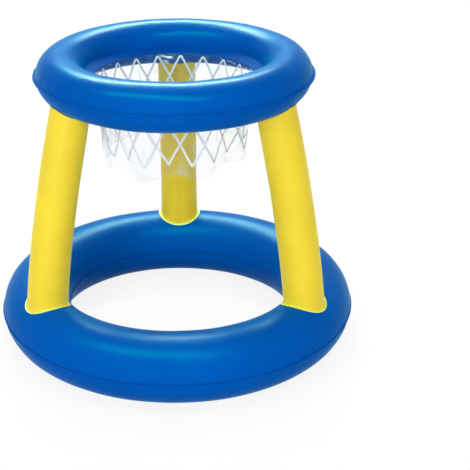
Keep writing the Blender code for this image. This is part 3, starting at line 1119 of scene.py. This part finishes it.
def turned(name, profile, v, closed=False):
    # A rounded profile turned about Z
    points = rounded(profile, v.rounding)
    mesh = bpy.data.meshes.new(name)
    count = len(points)
    mesh.from_pydata([(p.x, 0, p.y) for p in points],
                     [(i, (i + 1) % count) for i in range(count if closed else count - 1)], [])
    item = newItem(name, mesh)
    screw = item.modifiers.new("turn", "SCREW")
    screw.steps = screw.render_steps = v.sides
    screw.use_merge_vertices = True
    screw.merge_threshold = 0.00001
    frozen(item)
    faceOutwards(item)
    return item


def softBlock(name, low, high, rounding):
    shape = bmesh.new()
    bmesh.ops.create_cube(shape, size=1)
    low, high = Vector(low), Vector(high)
    bmesh.ops.scale(shape, vec=high - low, verts=shape.verts)
    bmesh.ops.translate(shape, vec=(low + high)/2, verts=shape.verts)
    bmesh.ops.bevel(shape, geom=shape.edges[:], offset=rounding, segments=3, profile=0.5,
                    affect="EDGES")
    return fromShape(name, shape)


def valveFlange(ring, angle, rise, matrix, v):
    turns = circle(v.sides)
    toSeat = np.array(matrix.inverted())
    bore, outer, thick = v.stemRadius + v.gap, v.flangeRadius, v.flangeThickness
    inner, welded = bore + v.rounding, outer - v.seatRadius
    profile = [(bore, thick - v.rounding), (inner, thick)]
    for radius in spread(inner, outer - 0.001, 26)[1:]:
        wave = 0.5 - 0.5*cos(2*pi*v.weldRings*(radius - v.seatRadius)/welded)
        ridge = v.weldRingHeight*wave if radius > v.seatRadius else 0
        profile.append((radius, thick + ridge - v.weldRingHeight))
    profile += [(outer - 0.0003, thick*0.8), (outer, thick*0.45), (outer, thick*0.15)]
    profile += [(radius, 0) for radius in spread(outer - 0.0001, bore, 10)]
    around = ring["coreRadius"] + ring["tubeRadius"]*cos(rise)
    rows = []
    for radius, height in profile:
        skin = onTube(ring, angle + radius*np.cos(turns)/around,
                      rise + radius*np.sin(turns)/ring["tubeRadius"], v.lift + height)
        skin = skin @ toSeat[:3, :3].T + toSeat[:3, 3]
        level = polar(radius, turns, v.lift + height)
        share = float(smoothStep((radius - v.seatRadius*0.85)/v.bendLength))
        rows.append(level*(1 - share) + skin*share)
    return ringMesh("flange", np.array(rows), valveClear)


def makeValve(key, place, v):
    matrix = seats[key]

    def finished(item, part, body):
        # The piece's own finish and its place on the ring
        node = f"{key}_valve_{part}"
        item.name = item.data.name = node + "_moulding"
        item.data.transform(matrix)
        item.data.materials.clear()
        item.data.materials.append(valveClear)
        item.data.set_sharp_from_angle(angle=radians(40))
        seat(item, body, node)

    finished(valveFlange(**place, matrix=matrix, v=v), "flange", "frame")
    stem = turned("stem", [
        (v.rimRadius, v.rimTop), (v.rimRadius, v.rimBottom), (v.stemRadius, v.rimBottom),
        (v.stemRadius, v.lipTop), (v.lipRadius, v.lipTop), (v.lipRadius, v.lipBottom),
        (v.boreRadius, v.lipBottom), (v.boreRadius, v.rimTop)], v, True)
    half = v.strapWidth/2
    ear = softBlock("ear", (-half, -v.strapReach, v.rimBottom),
                    (half, -(v.boreRadius + v.stemRadius)/2, v.rimTop - v.gap), v.rounding)
    finished(combined("UNION", stem, ear), "stem", key + "_stem")
    bottom, dish, bead = v.capBottom, v.capTop - v.capDish, v.spigotLength/5
    plug = turned("plug", [
        (0, dish), (v.capRadius*0.55, dish), (v.capRadius*0.68, v.capTop),
        (v.capRadius, v.capTop), (v.capRadius, bottom), (v.spigotRadius, bottom),
        (v.spigotRadius*0.93, bottom - bead), (v.spigotRadius, bottom - 1.6*bead),
        (v.spigotRadius*0.86, bottom - 2.4*bead), (v.spigotRadius*0.92, bottom - 3.2*bead),
        (v.tipRadius, bottom - v.spigotLength), (0, bottom - v.spigotLength)], v)
    strapTop, tabEnd = bottom + v.strapThickness, v.capRadius + v.tabLength
    strap = softBlock("strap", (-half, -v.strapReach, bottom), (half, -v.spigotRadius, strapTop),
                      v.rounding)
    tab = softBlock("tab", (-half, v.spigotRadius, bottom), (half, tabEnd, strapTop), v.rounding)
    (far, near), (low, high) = v.ribRun, v.ribRise
    ribs = [softBlock("rib", (-half*0.8, tabEnd - far - v.ribPitch*i, bottom + low),
                      (half*0.8, tabEnd - near - v.ribPitch*i, bottom + high), v.ribRounding)
            for i in range(v.ribCount)]
    finished(combined("UNION", plug, strap, tab, *ribs), "plug", key + "_plug")
    top = v.lipBottom - v.gap
    flap = turned("flap", [(0, top), (v.flapRadius, top), (v.flapRadius, top - v.flapThickness),
                           (0, top - v.flapThickness)], v)
    finished(flap, "flap", key + "_flap")


for key, place in valvePlaces.items():
    makeValve(key, place, valve)
print("valves made")


# Floor and light

studio = {
    "floorSize": 30.0,
    "floorLevel": -0.0004,
    "floorColour": (0.95, 0.95, 0.95),
    "floorShade": 0.995,  # share of the colour in its darker patches
    "bounce": 0.66,  # how much light the floor throws back at the object
    "glow": 0.86,  # how much of the floor's white the camera sees whatever the shadow
    "ambient": 0.60,
    "background": 1.0,
    "sunStrength": 0.40,
    "sunAngle": radians(50),
    "sunFrom": (-0.10, -0.20, 1.0),
    "softboxes": [
        # place, width, height, watts, aimed at
        ((-0.10, 2.05, 2.40), 2.0, 0.60, 45, (0, 0, 0.3)),
        ((-1.10, -5.80, 2.10), 2.9, 3.6, 250, (0, 0, 0.28)),
    ],
    "strips": [
        # the same with a colour, for lamps that only show as streaks in the vinyl's gloss
        ((-0.20, 2.05, 2.40), 1.7, 0.30, 620, (0, 0, 0.3), (1.0, 1.0, 0.80)),
        ((-0.35, 2.00, 2.80), 2.2, 1.9, 900, (0, 0, 0.3), (0.04, 1.0, 0.66)),
        ((-0.45, -1.20, 2.60), 3.2, 0.30, 1700, (0, -0.2, 0.1), (0.04, 1.0, 0.62)),
    ],
}


def whiteRays(tree):
    # 1 for the rays that see the white background: camera, gloss and clear pieces
    rays = addNode(tree, "ShaderNodeLightPath").outputs
    seen = calc(tree, "MAXIMUM", rays["Is Camera Ray"], rays["Is Glossy Ray"])
    return calc(tree, "MAXIMUM", seen, rays["Is Transmission Ray"])


def makeFloor(look):
    mesh = bpy.data.meshes.new("floor")
    half, level = look["floorSize"]/2, look["floorLevel"]
    mesh.from_pydata([(-half, -half, level), (half, -half, level), (half, half, level),
                      (-half, half, level)], [], [(0, 1, 2, 3)])
    floor = newItem("floor", mesh)
    material, tree, shader = newMaterial("pale floor")
    colour, dull = look["floorColour"], [look["bounce"]]*3
    seen = blendColours(tree, patches(tree, 3, 2), scaled(colour, look["floorShade"]), colour)
    feed(tree, shader, {"Base Color": blendColours(tree, whiteRays(tree), dull, seen),
                        "Roughness": 0.9, "Specular IOR Level": 0.0})
    white = result(tree, "ShaderNodeEmission", {"Color": (1, 1, 1), "Strength": 1.0})
    shown = calc(tree, "MULTIPLY", whiteRays(tree), look["glow"])
    mixed = result(tree, "ShaderNodeMixShader", {0: shown, 1: shader.outputs[0], 2: white})
    feed(tree, tree.nodes["Material Output"], {0: mixed})
    mesh.materials.append(material)


def makeWorld(look):
    # Even soft light for the object, and white wherever the camera, a gloss or a clear
    # piece sees the background
    world = bpy.data.worlds.new("studio")
    bpy.context.scene.world = world
    world.use_nodes = True
    tree = world.node_tree
    tree.nodes.clear()
    soft, white = (result(tree, "ShaderNodeBackground",
                          {"Color": (1, 1, 1), "Strength": look[key]})
                   for key in ("ambient", "background"))
    mixed = result(tree, "ShaderNodeMixShader", {0: whiteRays(tree), 1: soft, 2: white})
    addNode(tree, "ShaderNodeOutputWorld", {0: mixed})


def addLamp(name, kind, place, target, **settings):
    data = bpy.data.lights.new(name, kind)
    for key, value in settings.items():
        setattr(data, key, value)
    lamp = newItem(name, data)
    lamp.location = place
    lamp.rotation_mode = "QUATERNION"
    lamp.rotation_quaternion = (Vector(target) - Vector(place)).to_track_quat("-Z", "Y")
    lamp.visible_camera = False
    return lamp


makeFloor(studio)
makeWorld(studio)
addLamp("overhead", "SUN", studio["sunFrom"], (0, 0, 0), energy=studio["sunStrength"],
        angle=studio["sunAngle"])
for kind in ("softboxes", "strips"):
    for place, width, height, watts, target, *colour in studio[kind]:
        lamp = addLamp(kind, "AREA", place, target, energy=watts, shape="RECTANGLE",
                       size=width, size_y=height)
        if kind == "strips":
            lamp.visible_diffuse = False
            lamp.data.color = colour[0]
print("studio made")
